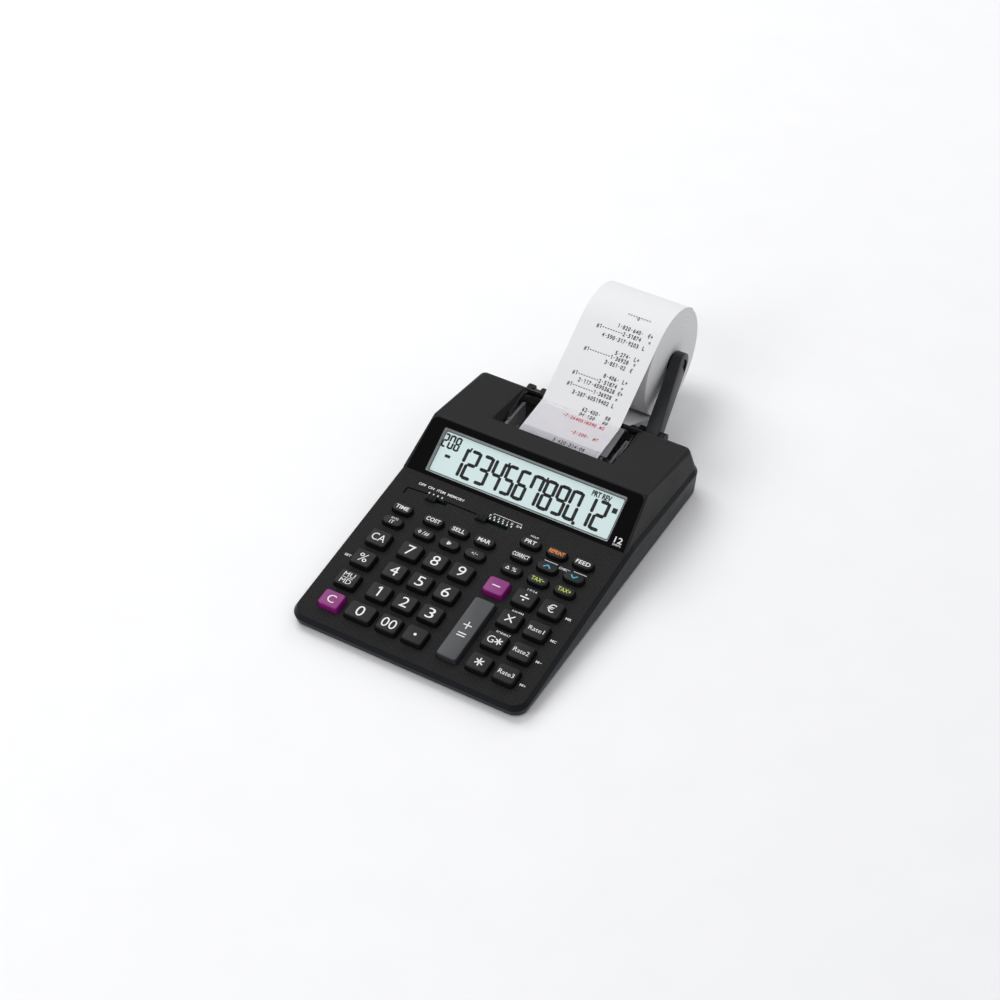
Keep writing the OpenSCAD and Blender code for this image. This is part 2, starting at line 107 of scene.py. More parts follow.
@dataclass(frozen=True)
class Surface:
    """A tilted plane of the case: x, the distance v up the slope and the height w over it, in mm."""

    origin: Vector
    tilt: float

    def matrix(self) -> Matrix:
        """Returns the matrix from the plane's millimetres to the frame's metres."""
        turn = Matrix.Rotation(self.tilt, 4, "X")
        return Matrix.Translation(self.origin) @ turn @ Matrix.Scale(MM, 4)

    def local_box(self, node: str) -> tuple[Vector, Vector]:
        """Measures a CAD node along the plane's own directions.

        Args:
            node: the node's name.

        Returns:
            Its lowest and highest corners in the plane's millimetres.
        """
        back = self.matrix().inverted()
        points = [back @ v.co for v in frame["nodes"][node].data.vertices]
        low = Vector(min(p[i] for p in points) for i in range(3))
        high = Vector(max(p[i] for p in points) for i in range(3))
        return low, high


def find_deck() -> Surface:
    """Returns the keyboard deck, found from the keys' travel and their tops."""
    travel = next(j["axis"] for j in frame["joints"] if j["name"] == "key_5_press")
    tilt = math.atan2(travel[1], -travel[2])
    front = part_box("bottom_case")[0].y
    top = Surface(Vector((0, front, 0)), tilt).local_box("key_5")[1].z
    return Surface(Vector((0, front, (top - KEY_RISE) * MM / math.cos(tilt))), tilt)


def find_panel() -> Surface:
    """Returns the display panel's face, found from the glossy panel's own edges."""
    tilt = math.radians(PANEL_SLOPE)
    low, high = Surface(Vector(), tilt).local_box("display_window")
    foot = Matrix.Rotation(tilt, 3, "X") @ Vector((0, low.y - PANEL_MARGIN, high.z)) * MM
    return Surface(foot, tilt)


DECK = find_deck()
PANEL = find_panel()


class FinishBuilder:
    """Builds the node material of one finish, with lengths in millimetres."""

    weave_reach: ClassVar[float] = 0.15
    cloud_pitch: ClassVar[float] = 14
    cloud_depth: ClassVar[float] = 0.12
    coat_roughness: ClassVar[float] = 0.08

    def __init__(self, finish: Finish) -> None:
        """Starts an empty node material with its shader.

        Args:
            finish: the finish to build.
        """
        self.finish = finish
        self.made = bpy.data.materials.new(finish.name)
        self.made.use_nodes = True
        self.tree = self.made.node_tree
        self.shader = self.tree.nodes["Principled BSDF"]
        self.place = self.node("ShaderNodeTexCoord").outputs["Object"]

    def node(self, kind: str, **settings: object) -> bpy.types.Node:
        """Adds a node.

        Args:
            kind: the node's type.
            **settings: its properties.

        Returns:
            The new node.
        """
        made = self.tree.nodes.new(kind)
        for name, value in settings.items():
            setattr(made, name, value)
        return made

    def math(self, operation: str, first: object, second: object = 0.0) -> bpy.types.NodeSocket:
        """Adds a math node.

        Args:
            operation: the node's operation.
            first: a socket or a number.
            second: a socket or a number.

        Returns:
            The result's socket.
        """
        made = self.node("ShaderNodeMath", operation=operation)
        for place, value in enumerate((first, second)):
            if isinstance(value, bpy.types.NodeSocket):
                self.tree.links.new(value, made.inputs[place])
            else:
                made.inputs[place].default_value = value
        return made.outputs[0]

    def noise(self, pitch: float, stretch: Sequence[float] = (1, 1, 1)) -> bpy.types.NodeSocket:
        """Adds noise.

        Args:
            pitch: the size of its grains in mm.
            stretch: how much finer it is along X, Y and Z.

        Returns:
            The noise's value.
        """
        mapping = self.node("ShaderNodeMapping")
        mapping.inputs["Scale"].default_value = stretch
        self.tree.links.new(self.place, mapping.inputs["Vector"])
        made = self.node("ShaderNodeTexNoise")
        made.inputs["Scale"].default_value = 1 / (pitch * MM)
        made.inputs["Detail"].default_value = 3
        self.tree.links.new(mapping.outputs[0], made.inputs["Vector"])
        return made.outputs["Fac"]

    def weave(self) -> bpy.types.NodeSocket:
        """Returns the deck's fine diamond relief, which is flat away from the deck's surface."""
        turned = self.node("ShaderNodeVectorRotate", rotation_type="X_AXIS")
        turned.inputs["Angle"].default_value = -DECK.tilt
        moved = self.node("ShaderNodeVectorMath", operation="SUBTRACT")
        moved.inputs[1].default_value = DECK.origin
        self.tree.links.new(self.place, moved.inputs[0])
        self.tree.links.new(moved.outputs[0], turned.inputs["Vector"])
        split = self.node("ShaderNodeSeparateXYZ")
        self.tree.links.new(turned.outputs[0], split.inputs[0])
        turns = math.pi / (self.finish.pitch * MM)
        one, two = (self.math("MULTIPLY", split.outputs[axis], turns) for axis in (0, 1))
        relief = self.math("MULTIPLY", self.math("SINE", one), self.math("SINE", two))
        near = self.math("LESS_THAN", self.math("ABSOLUTE", split.outputs[2]), self.weave_reach * MM)
        flat = self.math("MULTIPLY", relief, near)
        return self.math("ADD", self.math("MULTIPLY", flat, 0.5), 0.5)

    def height(self) -> bpy.types.NodeSocket:
        """Returns the finish's relief, from 0 to 1."""
        pitch = self.finish.pitch
        if self.finish.pattern is Pattern.WEAVE:
            return self.weave()
        if self.finish.pattern is Pattern.FIBRE:
            fine = self.math("MULTIPLY", self.noise(pitch), 0.5)
            return self.math("ADD", fine, self.noise(pitch * 6, (1, 3, 3)))
        if self.finish.pattern is Pattern.BRUSHED:
            return self.noise(pitch, (0.05, 1, 1))
        if self.finish.pattern is Pattern.TRACES:
            wave = self.node("ShaderNodeTexBrick")
            wave.inputs["Scale"].default_value = 1 / (pitch * MM)
            self.tree.links.new(self.place, wave.inputs["Vector"])
            return wave.outputs["Fac"]
        if self.finish.pattern is Pattern.RINGS:
            return self.rings()
        return self.noise(pitch)

    def rings(self) -> bpy.types.NodeSocket:
        """Returns the fine rings of the layers on a paper roll's ends."""
        low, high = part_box("paper_roll")
        moved = self.node("ShaderNodeVectorMath", operation="SUBTRACT")
        moved.inputs[1].default_value = (low + high) / 2
        self.tree.links.new(self.place, moved.inputs[0])
        split = self.node("ShaderNodeSeparateXYZ")
        self.tree.links.new(moved.outputs[0], split.inputs[0])
        squares = [self.math("MULTIPLY", split.outputs[i], split.outputs[i]) for i in (1, 2)]
        radius = self.math("SQRT", self.math("ADD", *squares))
        turns = 2 * math.pi / (self.finish.pitch * MM)
        wave = self.math("SINE", self.math("MULTIPLY", radius, turns))
        slow = self.math("SINE", self.math("MULTIPLY", radius, turns / 7.3))
        return self.math("ADD", self.math("MULTIPLY", self.math("ADD", wave, slow), 0.2), 0.5)

    def build(self) -> bpy.types.Material:
        """Returns the finished material."""
        finish, shader, links = self.finish, self.shader.inputs, self.tree.links
        relief = self.height()
        # Colour follows the relief: random tone for most patterns, while on the deck's weave the
        # lighter raised points and darker hollows are painted highlight and shade.
        ramp = self.node("ShaderNodeValToRGB")
        for element, part in zip(ramp.color_ramp.elements, (1 - finish.mottle_and_relief_shading, 1 + finish.mottle_and_relief_shading)):
            element.color = (*(min(1.0, c * part) for c in finish.color), 1)
        ramp.color_ramp.elements[0].position = 0.25
        ramp.color_ramp.elements[1].position = 0.75
        links.new(relief, ramp.inputs[0])
        links.new(ramp.outputs[0], shader["Base Color"])
        cloud = self.math("MULTIPLY", self.noise(self.cloud_pitch), self.cloud_depth)
        plain = finish.roughness - self.cloud_depth / 2
        links.new(self.math("ADD", cloud, plain), shader["Roughness"])
        bump = self.node("ShaderNodeBump")
        bump.inputs["Distance"].default_value = finish.depth * MM
        links.new(relief, bump.inputs["Height"])
        links.new(bump.outputs[0], shader["Normal"])
        shader["Metallic"].default_value = finish.metallic
        shader["Coat Weight"].default_value = finish.coat
        shader["Coat Roughness"].default_value = self.coat_roughness
        shader["Transmission Weight"].default_value = finish.transmission
        shader["Specular IOR Level"].default_value = finish.specular
        shader["IOR"].default_value = finish.ior
        return self.made


def key_print(name: str, color: tuple[float, float, float]) -> Finish:
    """Returns the finish of the printing on a key or the deck."""
    return Finish(f"{name} print", color, 0.55, pitch=0.3, depth=0.002, mottle_and_relief_shading=0.02)


# The weave's colour swings strongly with its relief, lighter on the raised points and darker in the
# hollows: painted highlight and shade over the real weave.
HOUSING = Finish(
    "charcoal case", (0.0085, 0.0085, 0.009), 0.5, pattern=Pattern.WEAVE, pitch=0.95, depth=0.4,
    mottle_and_relief_shading=0.8, specular=0.2
)
BASE = Finish("base shell", (0.006, 0.007, 0.010), 0.36, pitch=0.4, depth=0.01, specular=0.14)
GLOSS = Finish(
    "gloss panel", (0.0006, 0.0006, 0.0008), 0.2, pitch=6, depth=0.002, mottle_and_relief_shading=0.03, specular=0.12
)
LCD = Finish("display glass", (0.66, 0.80, 0.79), 0.3, coat=0.3, pitch=0.3, depth=0.001, mottle_and_relief_shading=0.015)
SILVER = Finish("display surround", (0.36, 0.38, 0.385), 0.3, metallic=0.4, pitch=0.2, depth=0.004)
SEGMENT = Finish("display segments", (0.002, 0.002, 0.002), 0.35, pitch=0.5, depth=0.001, mottle_and_relief_shading=0.02)
KEY = Finish("charcoal key", (0.0055, 0.0055, 0.006), 0.46, pitch=0.25, depth=0.012, specular=0.2)
KEY_GREY = Finish("grey key", (0.030, 0.032, 0.036), 0.32, pitch=0.25, depth=0.008, specular=0.3)
KEY_PURPLE = Finish("purple key", (0.21, 0.008, 0.15), 0.38, pitch=0.25, depth=0.010, specular=0.3)
WHITE = key_print("white", (0.82, 0.82, 0.82))
ORANGE = key_print("orange", (0.85, 0.24, 0.02))
CYAN = key_print("cyan", (0.03, 0.42, 0.62))
LIME = key_print("lime", (0.46, 0.62, 0.06))
BLACK = Finish("black line", (0.0008, 0.0008, 0.0008), 0.9, pitch=0.3, depth=0.002, specular=0.0)
PAPER = Finish(
    "tape paper", (0.78, 0.78, 0.78), 0.85, pattern=Pattern.FIBRE, pitch=0.12, depth=0.008,
    mottle_and_relief_shading=0.02
)
ROLL = Finish(
    "roll paper", (0.74, 0.74, 0.74), 0.85, pattern=Pattern.RINGS, pitch=0.5, depth=0.02, mottle_and_relief_shading=0.035
)
CARD = Finish(
    "card core", (0.42, 0.33, 0.22), 0.9, pattern=Pattern.FIBRE, pitch=0.3, depth=0.03, mottle_and_relief_shading=0.12
)
INK = Finish("black ink", (0.025, 0.025, 0.030), 0.8, pitch=0.2, depth=0.001, mottle_and_relief_shading=0.2)
RED_INK = Finish("red ink", (0.62, 0.05, 0.05), 0.8, pitch=0.2, depth=0.001, mottle_and_relief_shading=0.2)
SMOKE = Finish(
    "smoked cover", (0.955, 0.945, 0.965), 0.08, transmission=1.0, pitch=5, depth=0.002, mottle_and_relief_shading=0.01,
    specular=0.15, ior=1.12
)
ARM = Finish("arm plastic", (0.009, 0.010, 0.013), 0.4, specular=0.35, pitch=0.35, depth=0.015)
KNOB = Finish("selector knob", (0.003, 0.003, 0.0035), 0.5, pitch=0.3, depth=0.01, specular=0.15)
MAT = Finish("silicone mat", (0.42, 0.42, 0.40), 0.6, pitch=1.2, depth=0.03)
BOARD = Finish(
    "circuit board", (0.015, 0.10, 0.045), 0.4, coat=0.2, pattern=Pattern.TRACES, pitch=4,
    depth=0.03, mottle_and_relief_shading=0.3
)
BLACK_STEEL = Finish(
    "blackened steel", (0.055, 0.055, 0.058), 0.5, metallic=0.2, pattern=Pattern.BRUSHED, pitch=0.2,
    depth=0.01
)
STEEL = Finish(
    "sheet steel", (0.50, 0.51, 0.53), 0.32, metallic=1.0, pattern=Pattern.BRUSHED, pitch=0.2,
    depth=0.01
)
ROLLER = Finish("roller rubber", (0.018, 0.018, 0.018), 0.8, pitch=0.15, depth=0.03)
CARRIAGE = Finish("carriage plastic", (0.020, 0.020, 0.055), 0.45, pitch=0.4, depth=0.01)
PAD = Finish("foot rubber", (0.012, 0.012, 0.013), 0.85, pitch=0.3, depth=0.04)
# A pale see-through band that dims the tape at the front of the smoked cover: painted shade on the
# paper.
PAINTED_SHADE_BAND = Finish(
    "cover painted shade", (0.86, 0.86, 0.87), 0.25, transmission=1.0, pitch=0.8, depth=0.004, mottle_and_relief_shading=0.02,
    specular=0.1, ior=1.05
)
FLOOR = Finish("studio floor", (0.90, 0.90, 0.90), 0.7, pitch=40, depth=0.01, mottle_and_relief_shading=0.01)


def finish_piece(
    bm: bmesh.types.BMesh,
    name: str,
    finish: Finish,
    body: str | None,
    place: Matrix | None = None,
    sharp: float = 32,
) -> bpy.types.Object:
    """Makes an object of a bmesh, in the frame's metres.

    Args:
        bm: the shape, which is freed.
        name: the piece's name.
        finish: its finish.
        body: the CAD body that it rides on, or None to leave it unattached.
        place: the matrix that takes the shape to the frame.
        sharp: the angle in degrees over which an edge stays sharp.

    Returns:
        The new object.
    """
    if place is not None:
        bmesh.ops.transform(bm, matrix=place, verts=bm.verts)
    for face in bm.faces:
        face.smooth = True
    mesh = bpy.data.meshes.new(name)
    bm.to_mesh(mesh)
    bm.free()
    mesh.set_sharp_from_angle(angle=math.radians(sharp))
    mesh.materials.append(finish.material())
    made = bpy.data.objects.new(name, mesh)
    bpy.context.scene.collection.objects.link(made)
    if body:
        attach(made, body)
    return made


def dress(node: str, finish: Finish) -> None:
    """Gives a CAD node its finish.

    Args:
        node: the node's name.
        finish: the finish for all of it.
    """
    data = frame["nodes"][node].data
    if not data.materials:
        data.materials.append(None)
    for index in range(len(data.materials)):
        data.materials[index] = finish.material()


def outline(width: float, depth: float, corner: float, height: float, steps: int = 6) -> list[Vector]:
    """Returns a rectangle with round corners, in mm.

    Args:
        width: its size along X.
        depth: its size along Y.
        corner: the radius of its corners.
        height: its height.
        steps: the segments of each corner.

    Returns:
        Its points in order.
    """
    corner = min(corner, width / 2 - 0.01, depth / 2 - 0.01)
    points = []
    for quarter, (sx, sy) in enumerate(((1, 1), (-1, 1), (-1, -1), (1, -1))):
        for step in range(steps + 1):
            angle = math.pi / 2 * (quarter + step / steps)
            points.append(Vector((sx * (width / 2 - corner) + corner * math.cos(angle),
                                  sy * (depth / 2 - corner) + corner * math.sin(angle), height)))
    return points


def loft(bm: bmesh.types.BMesh, rings: Sequence[Sequence[Vector]]) -> None:
    """Adds a closed solid through rings of points, with both ends capped.

    Args:
        bm: the mesh that takes it.
        rings: the rings from the bottom to the top.
    """
    made = [[bm.verts.new(point) for point in ring] for ring in rings]
    bm.faces.new(reversed(made[0]))
    bm.faces.new(made[-1])
    for low, high in zip(made, made[1:]):
        for i in range(len(low)):
            j = (i + 1) % len(low)
            bm.faces.new((low[i], low[j], high[j], high[i]))


def cap_block(
    bm: bmesh.types.BMesh,
    width: float,
    depth: float,
    low: float,
    high: float,
    corner: float,
    taper: float,
    lip: float,
    steps: int = 5,
) -> None:
    """Adds a tapered block with round corners and a soft upper edge, in mm.

    Args:
        bm: the mesh that takes it.
        width: its size along X at the bottom.
        depth: its size along Y at the bottom.
        low: the height of its bottom.
        high: the height of its top.
        corner: the radius of its upright edges at the bottom.
        taper: how much smaller it is just under the top.
        lip: the radius of its upper edge.
        steps: the segments of its upper edge.
    """
    rings = [outline(width, depth, corner, low)]
    for step in range(steps + 1):
        angle = math.pi / 2 * step / steps
        less = taper + 2 * lip * (1 - math.cos(angle))
        height = high - lip + lip * math.sin(angle)
        rings.append(outline(width - less, depth - less, corner - less / 2 * 0.6, height))
    loft(bm, rings)


def add_bar(
    bm: bmesh.types.BMesh,
    start: Sequence[float],
    end: Sequence[float],
    width: float,
    rise: float = PRINT_RISE,
) -> None:
    """Adds a flat stroke between two points of a plane, in mm.

    Args:
        bm: the mesh that takes it.
        start: one end.
        end: the other end.
        width: the stroke's width.
        rise: its height.
    """
    run = Vector(end) - Vector(start)
    place = Matrix.Translation((*((Vector(start) + Vector(end)) / 2), rise / 2))
    turn = Matrix.Rotation(math.atan2(run.y, run.x), 4, "Z")
    place = place @ turn @ Matrix.Diagonal((run.length, width, rise, 1))
    bmesh.ops.create_cube(bm, size=1, matrix=place)


def add_dot(bm: bmesh.types.BMesh, x: float, y: float, radius: float, rise: float = PRINT_RISE) -> None:
    """Adds a round flat dot in mm.

    Args:
        bm: the mesh that takes it.
        x: its place along X.
        y: its place along Y.
        radius: its radius.
        rise: its height.
    """
    bmesh.ops.create_cone(bm, cap_ends=True, segments=20, radius1=radius, radius2=radius, depth=rise,
                          matrix=Matrix.Translation((x, y, rise / 2)))


def add_text(
    bm: bmesh.types.BMesh,
    words: str,
    cap: float,
    x: float,
    y: float,
    width: float = 0.0,
    weight: float = 0.0,
    rise: float = PRINT_RISE,
) -> None:
    """Adds flat lettering in mm, with its middle at a point.

    Args:
        bm: the mesh that takes it.
        words: the text.
        cap: the height of its capitals.
        x: its middle along X.
        y: the middle of its capitals.
        width: its whole width, or 0 for the font's own.
        weight: how much bolder it is.
        rise: its height over the surface.
    """
    curve = bpy.data.curves.new("words", "FONT")
    curve.body, curve.resolution_u, curve.offset = words, 3, weight
    holder = bpy.data.objects.new("words", curve)
    bpy.context.scene.collection.objects.link(holder)
    bpy.context.view_layer.update()
    graph = bpy.context.evaluated_depsgraph_get()
    mesh = bpy.data.meshes.new_from_object(holder.evaluated_get(graph))
    bpy.data.objects.remove(holder)
    bpy.data.curves.remove(curve)
    left, right = (pick(v.co.x for v in mesh.vertices) for pick in (min, max))
    scale = cap / CAP_OF_FONT
    across = width / (right - left) if width else scale
    corner = Matrix.Translation((x - across * (left + right) / 2, y - cap / 2, rise))
    mesh.transform(corner @ Matrix.Diagonal((across, scale, 1, 1)))
    bm.from_mesh(mesh)
    bpy.data.meshes.remove(mesh)


class Mark(Enum):
    """The drawn marks: strokes between unit points, then dots."""

    PLUS = (((-1, 0, 1, 0), (0, -1, 0, 1)), ())
    MINUS = (((-1, 0, 1, 0),), ())
    TIMES = (((-0.8, -0.8, 0.8, 0.8), (-0.8, 0.8, 0.8, -0.8)), ())
    DIVIDE = (((-1, 0, 1, 0),), ((0, 0.7), (0, -0.7)))
    EQUALS = (((-1, 0.36, 1, 0.36), (-1, -0.36, 1, -0.36)), ())
    STAR = (((0, -1, 0, 1), (-0.87, -0.5, 0.87, 0.5), (-0.87, 0.5, 0.87, -0.5)), ())
    UP = (((-1, -0.45, 0, 0.45), (0, 0.45, 1, -0.45)), ())
    DOWN = (((-1, 0.45, 0, -0.45), (0, -0.45, 1, 0.45)), ())
    DIAMOND = (((-0.7, 0, 0, 0.9), (0, 0.9, 0.7, 0), (0.7, 0, 0, -0.9), (0, -0.9, -0.7, 0)), ())
    DELTA = (((-0.9, -0.8, 0, 0.8), (0, 0.8, 0.9, -0.8), (0.9, -0.8, -0.9, -0.8)), ())
    POINT = ((), ((0, 0),))
    RULE = (((-1, 0, 1, 0),), ())
    ONE = (((0.12, -1, 0.12, 1), (0.12, 1, -0.4, 0.62)), ())
    ARROW = (((-0.7, 0.8, 0.8, 0), (0.8, 0, -0.7, -0.8), (-0.7, -0.8, -0.7, 0.8), (-0.5, 0, 0.4, 0),
              (-0.5, 0.35, 0.1, 0.2), (-0.5, -0.35, 0.1, -0.2)), ())


@dataclass(frozen=True)
class Glyph:
    """One word or mark of a legend, in mm."""

    what: str | Mark
    size: float
    x: float = 0.0
    y: float = 0.0
    stroke: float = 0.7
    width: float = 0.0
    weight: float = -0.004

    def draw(self, bm: bmesh.types.BMesh) -> None:
        """Adds the glyph to a mesh."""
        if isinstance(self.what, str):
            add_text(bm, self.what, self.size, self.x, self.y, self.width, self.weight)
            return
        half = self.size / 2
        strokes, dots = self.what.value
        for ax, ay, bx, by in strokes:
            start = (self.x + ax * half, self.y + ay * half)
            end = (self.x + bx * half, self.y + by * half)
            add_bar(bm, start, end, self.stroke)
        for dx, dy in dots:
            add_dot(bm, self.x + dx * half, self.y + dy * half, self.stroke * 0.85)


def word(words: str, width: float) -> tuple[Glyph, ...]:
    """Returns a small key's legend."""
    return (Glyph(words, 2.9, width=width, weight=0.012),)


@dataclass(frozen=True)
class KeyStyle:
    """What a key's cap looks like."""

    legend: tuple[Glyph, ...]
    ink: Finish = WHITE
    cap: Finish = KEY
    slot: str = "key_charcoal"


KEYS: dict[str, KeyStyle] = {
    "clear": KeyStyle((Glyph("C", 5.9, width=5.2),), cap=KEY_PURPLE, slot="key_purple"),
    "markup": KeyStyle((Glyph("MU", 3.5, y=2.6, width=7.6), Glyph(Mark.RULE, 7.6, stroke=0.35),
                        Glyph("MD", 3.5, y=-2.6, width=7.6))),
    "percent": KeyStyle((Glyph("%", 6.3, width=6.2),)),
    "clear_all": KeyStyle((Glyph("CA", 5.6, width=9.4),)),
    "plus_equals": KeyStyle((Glyph(Mark.PLUS, 5.8, y=2.2), Glyph(Mark.EQUALS, 5.6, y=-5.4)),
                            cap=KEY_GREY, slot="key_grey"),
    "minus": KeyStyle((Glyph(Mark.MINUS, 5.6),), cap=KEY_PURPLE, slot="key_purple"),
    "point": KeyStyle((Glyph(Mark.POINT, 2, stroke=1.15),)),
    "total": KeyStyle((Glyph(Mark.STAR, 6.0, stroke=0.8),)),
    "grand_total": KeyStyle((Glyph("G", 5.2, x=-2.5, width=4.4),
                             Glyph(Mark.STAR, 5.2, x=2.7, stroke=0.75))),
    "multiply": KeyStyle((Glyph(Mark.TIMES, 6.2, stroke=0.8),)),
    "divide": KeyStyle((Glyph(Mark.DIVIDE, 6.0, stroke=0.8),)),
    "rate_3": KeyStyle((Glyph("Rate3", 3.1, width=10.6),)),
    "rate_2": KeyStyle((Glyph("Rate2", 3.1, width=10.6),)),
    "rate_1": KeyStyle((Glyph("Rate1", 3.1, width=10.4),)),
    "euro": KeyStyle((Glyph("€", 5.9, width=5.2),)),
    "item_count": KeyStyle((Glyph("AVG", 1.8, x=0.4, y=1.9, width=5.0),
                            Glyph("IT", 2.6, y=-1.2, width=3.0))),
    "subtotal": KeyStyle((Glyph(Mark.DIAMOND, 2.6, x=-2.9, stroke=0.45),
                          Glyph("/#", 2.9, x=1.5, width=4.6))),
    "backspace": KeyStyle((Glyph(Mark.ARROW, 3.0, stroke=0.7),)),
    "sign": KeyStyle((Glyph("+/−", 2.6, width=4.6),)),
    "time": KeyStyle(word("TIME", 9.2)),
    "cost": KeyStyle(word("COST", 9.8)),
    "sell": KeyStyle(word("SELL", 8.8)),
    "margin": KeyStyle(word("MAR", 8.6)),
    "change_percent": KeyStyle((Glyph(Mark.DELTA, 2.7, x=-2.7, stroke=0.42),
                                Glyph("%", 2.9, x=1.9, width=3.2))),
    "correct": KeyStyle(word("CORRECT", 11.4)),
    "print": KeyStyle(word("PRT", 7.6)),
    "tax_minus": KeyStyle(word("TAX−", 9.0), ink=LIME),
    "check_back": KeyStyle((Glyph(Mark.UP, 4.6, stroke=0.75),), ink=CYAN),
    "reprint": KeyStyle(word("REPRINT", 10.6), ink=ORANGE),
    "tax_plus": KeyStyle(word("TAX+", 9.0), ink=LIME),
    "check_next": KeyStyle((Glyph(Mark.DOWN, 4.6, stroke=0.75),), ink=CYAN),
    "feed": KeyStyle(word("FEED", 9.8)),
    **{number: KeyStyle((Glyph(number, 7.6, width=5.3),)) for number in "023456789"},
    "1": KeyStyle((Glyph(Mark.ONE, 7.4, stroke=1.0),)),
    "00": KeyStyle((Glyph("00", 7.0, width=9.8),)),
}


@dataclass(frozen=True)
class Keyboard:
    """The keys' caps and their printed legends, in mm."""

    flange: float = 0.8
    skirt: float = -2.0
    hook: float = -2.8
    corner: float = 2.2
    taper: float = 1.0
    lip: float = 0.7
    small_lip: float = 0.55
    small_depth: float = 8.2
    small_rise: float = 3.1
    flange_gap: float = 0.02
    flange_lip: float = 0.1
    print_gap: float = 0.01

    def cap(self, name: str, style: KeyStyle) -> None:
        """Builds one key's cap and its legend.

        Args:
            name: the key's name without its prefix.
            style: its legend and finishes.
        """
        node = f"key_{name}"
        low, high = DECK.local_box(node)
        full_width, full_depth = high.x - low.x, high.y - low.y
        width, depth = full_width - 2 * self.flange, full_depth - 2 * self.flange
        small = depth < self.small_depth
        corner = depth / 2 - 0.05 if small else self.corner
        top = self.small_rise if small else KEY_RISE
        lip = self.small_lip if small else self.lip
        shape = bmesh.new()
        cap_block(shape, width, depth, self.skirt, top, corner, self.taper, lip)
        under = self.skirt - self.flange_gap
        cap_block(shape, full_width, full_depth, self.hook, under, corner, 0.01, self.flange_lip)
        centre = Matrix.Translation(((low.x + high.x) / 2, (low.y + high.y) / 2, 0))
        piece = finish_piece(shape, f"{node}_cap", style.cap, node, DECK.matrix() @ centre)
        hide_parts(node)
        ink = bmesh.new()
        for glyph in style.legend:
            glyph.draw(ink)
        lift = Matrix.Translation((0, 0, top + self.print_gap))
        finish_piece(ink, f"{node}_legend", style.ink, node, DECK.matrix() @ centre @ lift)

    def build(self) -> None:
        """Builds every key."""
        for name, style in KEYS.items():
            self.cap(name, style)
        log.info("keyboard: %d keys", len(KEYS))


@dataclass(frozen=True)
class DeckPrint:
    """The words and lines printed on the deck, in mm."""

    lift: float = 0.012

    WORDS: ClassVar[tuple[tuple[str, float, float, float, float, float], ...]] = (
        ("SET", 1.7, -73.0, 54.5, 4.4, 0.012),
        ("17/14", 1.7, 43.5, 81.7, 6.6, 0.012),
        ("AM/PM", 1.7, 43.6, 63.2, 8.2, 0.012),
        ("FORMAT", 1.7, 44.2, 45.1, 9.6, 0.012),
        ("M−", 1.7, 73.6, 36.3, 3.9, 0.012),
        ("M+", 1.7, 73.4, 17.3, 3.9, 0.012),
        ("MR", 1.7, 73.7, 72.7, 3.9, 0.012),
        ("MC", 1.7, 73.7, 54.0, 3.9, 0.012),
        ("CHECK", 1.7, 53.0, 105.5, 8.0, 0.012),
        ("OFF  ON  ITEM  MEMORY", 1.9, -47.4, 125.4, 33.6, 0.01),
        ("F  6  3  2  1  0   5/4", 1.8, 1.2, 122.6, 23.0, 0.01),
        ("HOLD", 1.3, 23.8, 119.8, 5.4, 0.012),
    )
    SCALES: ClassVar[tuple[tuple[float, float, float, int], ...]] = (
        (-54.1, -44.5, 121.2, 4), (-8.9, 6.4, 120.4, 6))
    # Black lines drawn flat on the deck along the grooves by the selectors: painted shade of the
    # grooves.
    GROOVE_SHADE_LINES: ClassVar[tuple[tuple[tuple[float, float], tuple[float, float]], ...]] = (
        ((-69, 113.7), (-68.8, 119.1)),
        ((-68.8, 119.1), (-54.5, 120.1)),
        ((-42.1, 119.6), (-18.1, 119.5)),
    )

    def words(self) -> bmesh.types.BMesh:
        """Returns the small white words and lines beside the keys and selectors."""
        bm = bmesh.new()
        for text, cap, x, v, width, weight in self.WORDS:
            add_text(bm, text, cap, x, v, width, weight)
        for x0, x1 in ((38.2, 47.4), (58.6, 67.6)):
            add_bar(bm, (x0, 106.8), (x1, 106.8), 0.45)
        add_bar(bm, (-8.3, 124.9), (11.8, 124.9), 0.3)
        for x in (-8.3, 11.8):
            add_bar(bm, (x, 124.1), (x, 125.0), 0.3)
        return bm

    def ticks(self) -> bmesh.types.BMesh:
        """Returns the small marks over each selector's places."""
        bm = bmesh.new()
        for first, last, v, places in self.SCALES:
            for step in range(places):
                x = first + (last - first) * step / (places - 1)
                add_bar(bm, (x, v - 0.6), (x, v + 0.7), 0.75)
        return bm

    def groove_shade_lines(self) -> bmesh.types.BMesh:
        """Returns the black lines that lead round the selectors, painted shade drawn flat where the
        deck's grooves run.
        """
        bm = bmesh.new()
        for start, end in self.GROOVE_SHADE_LINES:
            add_bar(bm, start, end, 0.85)
        return bm

    def build(self) -> None:
        """Builds the deck's printing."""
        place = DECK.matrix() @ Matrix.Translation((0, 0, self.lift))
        finish_piece(self.words(), "deck_words", WHITE, CASE, place)
        finish_piece(self.ticks(), "deck_ticks", WHITE, CASE, place)
        finish_piece(self.groove_shade_lines(), "deck_groove_shade", BLACK, CASE, place)
        log.info("deck print")


